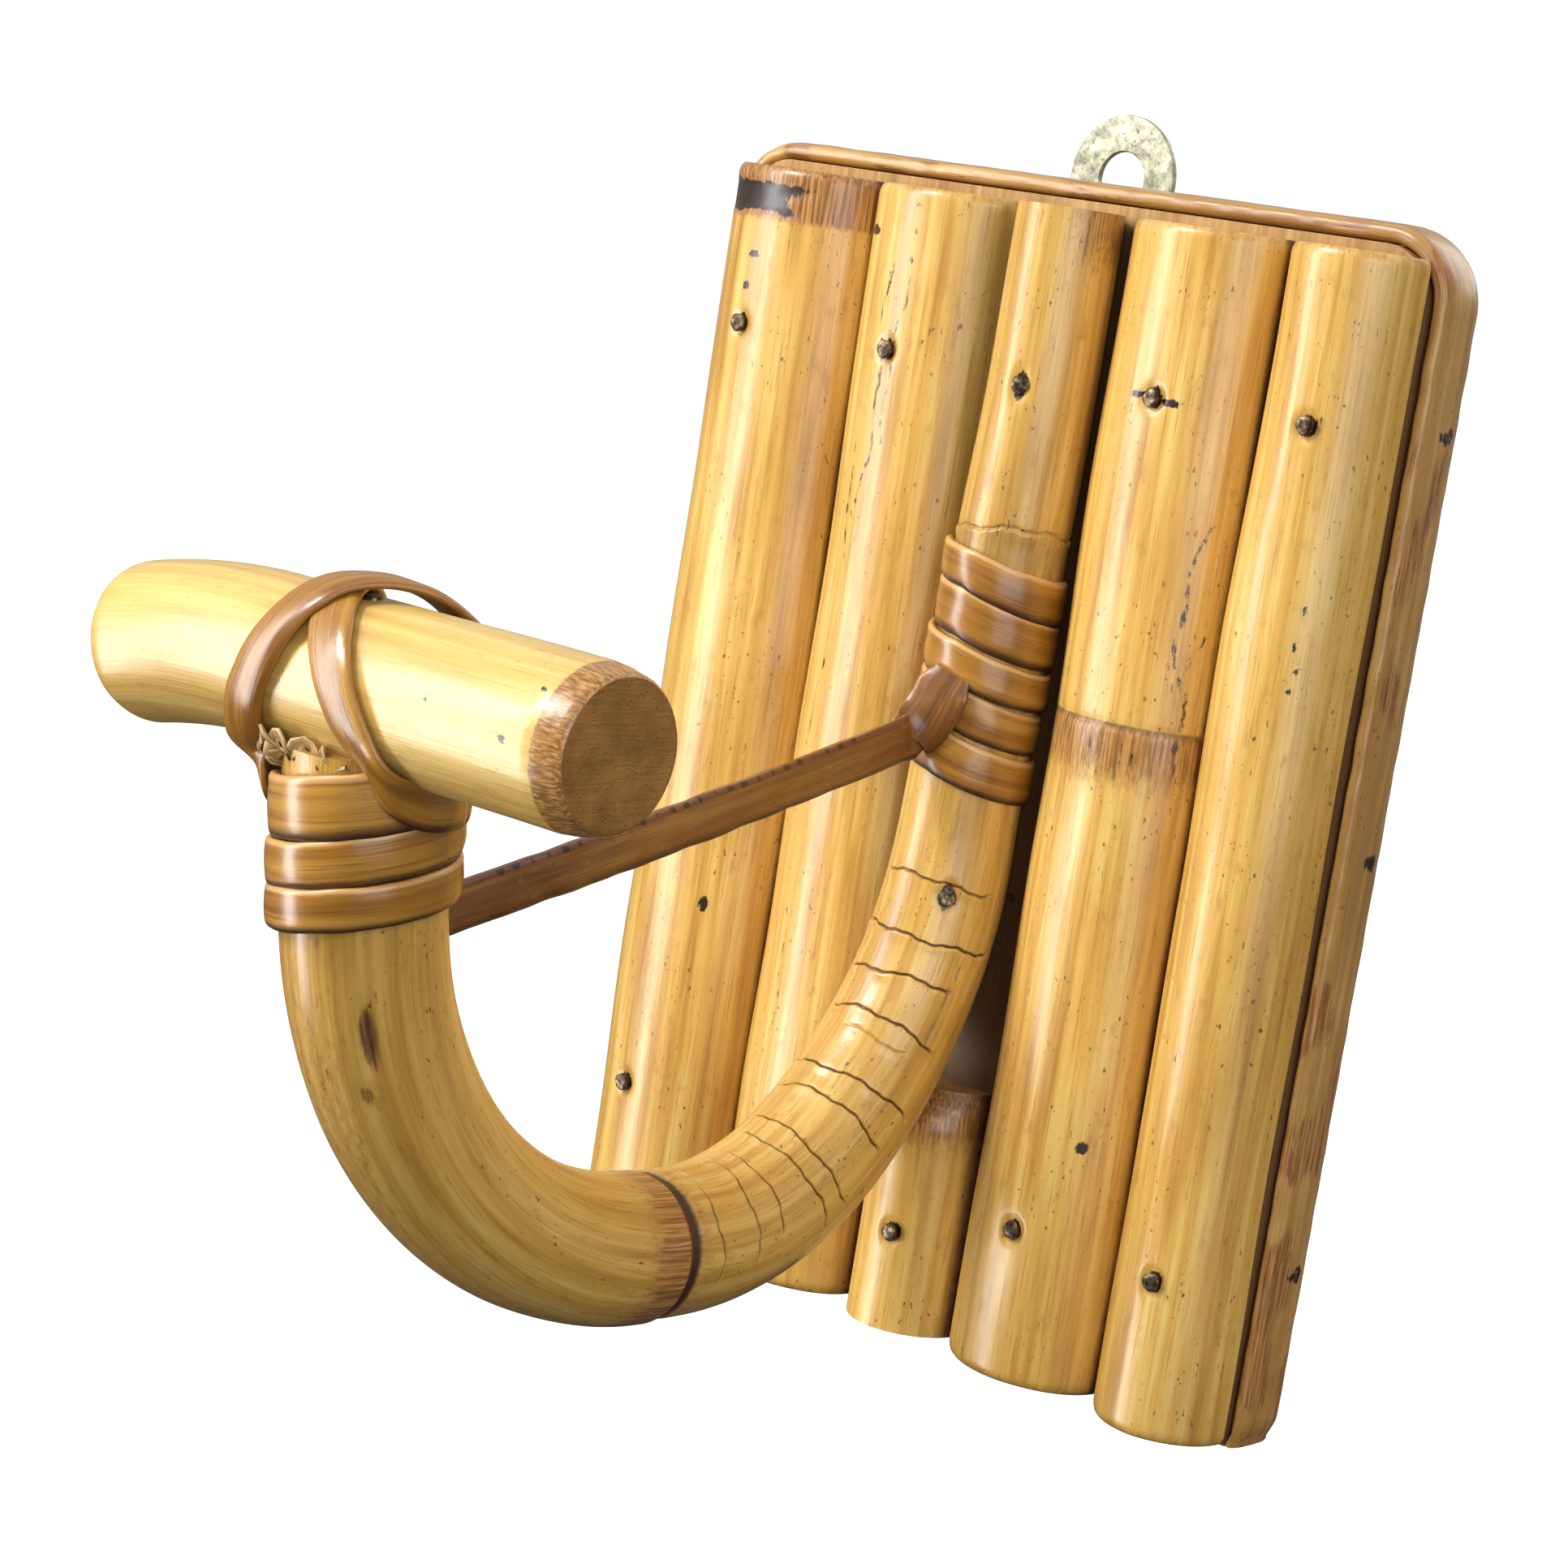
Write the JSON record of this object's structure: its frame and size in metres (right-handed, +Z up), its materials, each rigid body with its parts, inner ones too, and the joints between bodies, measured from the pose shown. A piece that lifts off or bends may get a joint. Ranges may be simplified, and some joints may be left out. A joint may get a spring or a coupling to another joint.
{
  "type": "wall coat hook",
  "caption": "Wall coat hook of split canes on a board, with a bent cane U hook, a cross bar bound on its end, and a ring hanger.",
  "frame": {"origin": "centre of the backing board's back face, which lies on the wall", "axes": "+X to the right seen from the room, -Y out of the wall into the room, +Z up"},
  "size_m": [0.141, 0.1596, 0.195],
  "materials": {
    "board": "plain unvarnished board, brown",
    "rim": "varnished split cane strip, tan brown with a mottled skin",
    "cane": "varnished cane, golden yellow, semi-gloss",
    "bent_cane": "varnished bent cane, golden yellow with fine cross cracks, semi-gloss",
    "bar": "varnished cane, pale golden yellow, gloss, brown end grain",
    "peel": "varnished flat cane peel, mid brown, gloss",
    "strap": "varnished cane peel, red brown, gloss",
    "nails": "dark steel wire nails with small round heads",
    "hanger_metal": "galvanised sheet metal, dull silver"
  },
  "bodies": {
    "root": {"backing_board": "board", "edge_rim": "rim", "split_cane_1": "cane", "split_cane_2": "cane", "split_cane_4": "cane", "split_cane_5": "cane", "short_stub": "cane", "hook_cane": "bent_cane", "cross_bar": "bar", "post_turn_1": "peel", "post_turn_2": "peel", "post_turn_3": "peel", "shank_turn_1": "peel", "shank_turn_2": "peel", "shank_turn_3": "peel", "shank_turn_4": "peel", "shank_turn_5": "peel", "lower_lash": "peel", "upper_lash": "peel", "lash_tail": "peel", "brace_strap": "strap", "upper_cane_nails": "nails", "lower_cane_nails": "nails", "stub_nail": "nails", "hook_nails": "nails", "bar_nail": "nails", "rim_pins": "nails", "hanger_nails": "hanger_metal", "hanger": "hanger_metal"}
  },
  "joints": []
}
